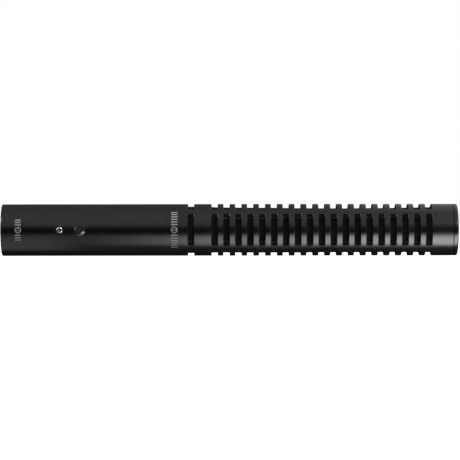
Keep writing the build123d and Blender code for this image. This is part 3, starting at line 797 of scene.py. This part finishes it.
def lay_wire(row, upright):
    """One wire through every crossing of its row, from rim to rim."""
    offset = row * WIRE_PITCH
    half = math.sqrt(MESH_R ** 2 - offset ** 2)
    last = int((half - WIRE_END) / WIRE_PITCH)
    stops = [(-half, 0.0)]
    for crossing in range(-last, last + 1):
        in_front = (crossing + row + upright) % 2 == 0
        stops.append((crossing * WIRE_PITCH, (2 if in_front else -2) * WIRE_R))
    stops.append((half, 0.0))
    wire = wires.splines.new("NURBS")
    wire.points.add(len(stops) - 1)
    for point, (place, lift) in zip(wire.points, stops):
        across, up = (offset, place) if upright else (place, offset)
        point.co = (MESH_X + lift, across, up, 1.0)
    wire.order_u = 3
    wire.use_endpoint_u = True


rows = int(MESH_R / WIRE_PITCH)
for row in range(-rows, rows + 1):
    lay_wire(row, 0)
    lay_wire(row, 1)
holder = bpy.data.objects.new("wires", wires)
bpy.context.scene.collection.objects.link(holder)
woven_disc = bpy.data.objects.new(
    "front_wire_mesh", bpy.data.meshes.new_from_object(
        holder.evaluated_get(bpy.context.evaluated_depsgraph_get())))
bpy.data.objects.remove(holder)
bpy.context.scene.collection.objects.link(woven_disc)
woven_disc.data.materials.clear()
woven_disc.data.materials.append(finishes["mesh_black"])
woven_disc.data.shade_smooth()
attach(woven_disc, "front_stack")
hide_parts("front_mesh")
print(2 * (2 * rows + 1), "wires,", len(woven_disc.data.polygons), "faces")

# %% [markdown]
# ## Felt pad
# Behind the wire sits a plug of felt that stops wind and dust. It is cut from a sheet with a
# punch, so its rim is slightly round and its faces are uneven. Half of its outline is drawn, its
# corners are rounded, and it is spun round the axis; then its points are pushed a little along
# their normals by smooth noise, as a hand would knead it.

# %% Felt pad behind the wire
felt_low, felt_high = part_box("front_felt")
FELT_GAP = 0.06 * MM
FELT_R = felt_high.y - FELT_GAP
FELT_ROUND = 0.35 * MM
FELT_UNEVEN = 0.05 * MM
FELT_PATCHES = 700.0  # per metre

bm = bmesh.new()
front_x, back_x = felt_high.x - FELT_UNEVEN, felt_low.x + FELT_UNEVEN
outline = [bm.verts.new(place) for place in (
    (front_x, 0, 0), (front_x, FELT_R, 0), (back_x, FELT_R, 0), (back_x, 0, 0))]
for pair in zip(outline, outline[1:]):
    bm.edges.new(pair)
bmesh.ops.bevel(bm, geom=outline[1:3], offset=FELT_ROUND, offset_type="OFFSET", segments=4,
                profile=0.5, material=-1, affect="VERTICES")
long_edges = [edge for edge in bm.edges if edge.calc_length() > 2 * MM]
bmesh.ops.subdivide_edges(bm, edges=long_edges, cuts=14)
bmesh.ops.spin(bm, geom=bm.verts[:] + bm.edges[:], cent=(0, 0, 0), axis=(1, 0, 0),
               angle=2 * math.pi, steps=80, use_merge=True)
bmesh.ops.remove_doubles(bm, verts=bm.verts, dist=0.002 * MM)
bmesh.ops.recalc_face_normals(bm, faces=bm.faces)
bm.normal_update()
for point in bm.verts:
    point.co += point.normal * FELT_UNEVEN * noise.noise(point.co * FELT_PATCHES)
for face in bm.faces:
    face.smooth = True
felt_pad = object_from(bm, "felt_pad", finishes["felt_black"])
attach(felt_pad, "front_stack")
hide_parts("front_felt")
print("felt pad of", len(felt_pad.data.polygons), "faces")

# %% [markdown]
# ## Printed marks
# Two small marks are pad-printed in pale ink. Here they are plain signs that say what the object
# is: a ring with three dots for the connector, and an oval in a ring, for a microphone that hears
# what it points at, each between two rows of bars. Each is cut out flat, given the thickness of
# ink, sliced finely, and only then rolled round the barrel, because a long flat face can't bend.

# %% Ink and the rolling of a flat mark
INK_THICK = 0.008 * MM
SLICE = 0.35 * MM
PALE_INK = ((0.38, 0.38, 0.38, 1), (0.50, 0.50, 0.50, 1))


def pale_ink():
    """Pale grey ink with the slight mottle of a pad print."""
    material, tree = new_material("pale_ink")
    grain = use(tree, blasted_grain, Grains_per_metre=7000.0)
    shade = mixed(tree, grain["Height"], *PALE_INK)
    rough = spread_over(tree, grain["Patch"], 0.3, 0.7, 0.42, 0.55)
    principled(tree, Base_Color=shade, Roughness=rough,
               Normal=bump(tree, grain["Height"], 0.004 * MM, 0.5))
    return material


def cut_ring(bm, outer, inner, squeeze=1.0, middle=(0, 0)):
    """A flat ring, or with squeeze an oval one, round middle."""
    loops = [bmesh.ops.create_circle(bm, segments=48, radius=size)["verts"]
             for size in (outer, inner)]
    edges = {edge for loop in loops for point in loop for edge in point.link_edges}
    bmesh.ops.bridge_loops(bm, edges=list(edges))
    points = loops[0] + loops[1]
    bmesh.ops.scale(bm, verts=points, vec=(1, squeeze, 1))
    bmesh.ops.translate(bm, verts=points, vec=(*middle, 0))


def cut_dot(bm, radius, middle):
    """A flat dot round middle."""
    points = bmesh.ops.create_circle(bm, cap_ends=True, segments=20, radius=radius)["verts"]
    bmesh.ops.translate(bm, verts=points, vec=(*middle, 0))


def cut_bars(bm, width, height, places):
    """Flat bars at each place, in mm, on both sides of the middle; width runs along the barrel."""
    for place in places:
        for sign in (-1, 1):
            points = bmesh.ops.create_grid(bm, x_segments=1, y_segments=1, size=0.5)["verts"]
            bmesh.ops.scale(bm, verts=points, vec=(width, height, 1))
            bmesh.ops.translate(bm, verts=points, vec=(0, sign * place * MM, 0))


def roll_on(bm, name, where):
    """Thicken a flat mark, slice it, and roll it on the front of the barrel at where."""
    bmesh.ops.recalc_face_normals(bm, faces=bm.faces)
    for face in bm.faces:
        if face.normal.z < 0:
            face.normal_flip()
    reach = max(abs(point.co.y) for point in bm.verts)
    for step in range(-int(reach / SLICE), int(reach / SLICE) + 1):
        bmesh.ops.bisect_plane(bm, geom=bm.verts[:] + bm.edges[:] + bm.faces[:],
                               plane_co=(0, step * SLICE, 0), plane_no=(0, 1, 0), dist=1e-7)
    raised = bmesh.ops.extrude_face_region(bm, geom=bm.faces[:])
    top = [item for item in raised["geom"] if isinstance(item, bmesh.types.BMVert)]
    bmesh.ops.translate(bm, verts=top, vec=(0, 0, INK_THICK))
    bmesh.ops.recalc_face_normals(bm, faces=bm.faces)
    for point in bm.verts:
        angle, radius = point.co.y / BARREL_R, BARREL_R + point.co.z
        point.co = (where + point.co.x, -radius * math.cos(angle), radius * math.sin(angle))
    mark = object_from(bm, name, ink)
    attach(mark, "root")


ink = pale_ink()
print("ink", INK_THICK / MM, "mm thick")

# %% The two marks
CONNECTOR_MARK_X = REAR_X + 7.1 * MM
LOBE_MARK_X = REAR_X + 70.2 * MM
DOT_CIRCLE_R = 0.52 * MM

bm = bmesh.new()
cut_ring(bm, 1.30 * MM, 1.00 * MM)
for turn in (90, 210, 330):
    angle = math.radians(turn)
    cut_dot(bm, 0.24 * MM, (DOT_CIRCLE_R * math.cos(angle), DOT_CIRCLE_R * math.sin(angle)))
cut_bars(bm, 2.4 * MM, 0.42 * MM, (2.1, 3.1, 4.1))
roll_on(bm, "connector_mark", CONNECTOR_MARK_X)

bm = bmesh.new()
cut_ring(bm, 1.35 * MM, 1.05 * MM)
cut_ring(bm, 0.86 * MM, 0.58 * MM, squeeze=0.5, middle=(0.12 * MM, 0))
cut_bars(bm, 2.6 * MM, 0.45 * MM, (2.2, 3.3, 4.4, 5.5, 6.6, 7.7))
roll_on(bm, "lobe_mark", LOBE_MARK_X)
print("marks at", round(CONNECTOR_MARK_X / MM, 1), "and", round(LOBE_MARK_X / MM, 1), "mm")

# %% [markdown]
# ## Compare the sizes
# The box of the made pieces is set against the box of the working model, and the shift of each
# corner is printed.

# %% Sizes
visual_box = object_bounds()
for corner, (before, after) in zip(("low", "high"), zip(cad_box, visual_box)):
    print(corner, "corner moved by", [round((b - a) / MM, 3) for a, b in zip(before, after)], "mm")
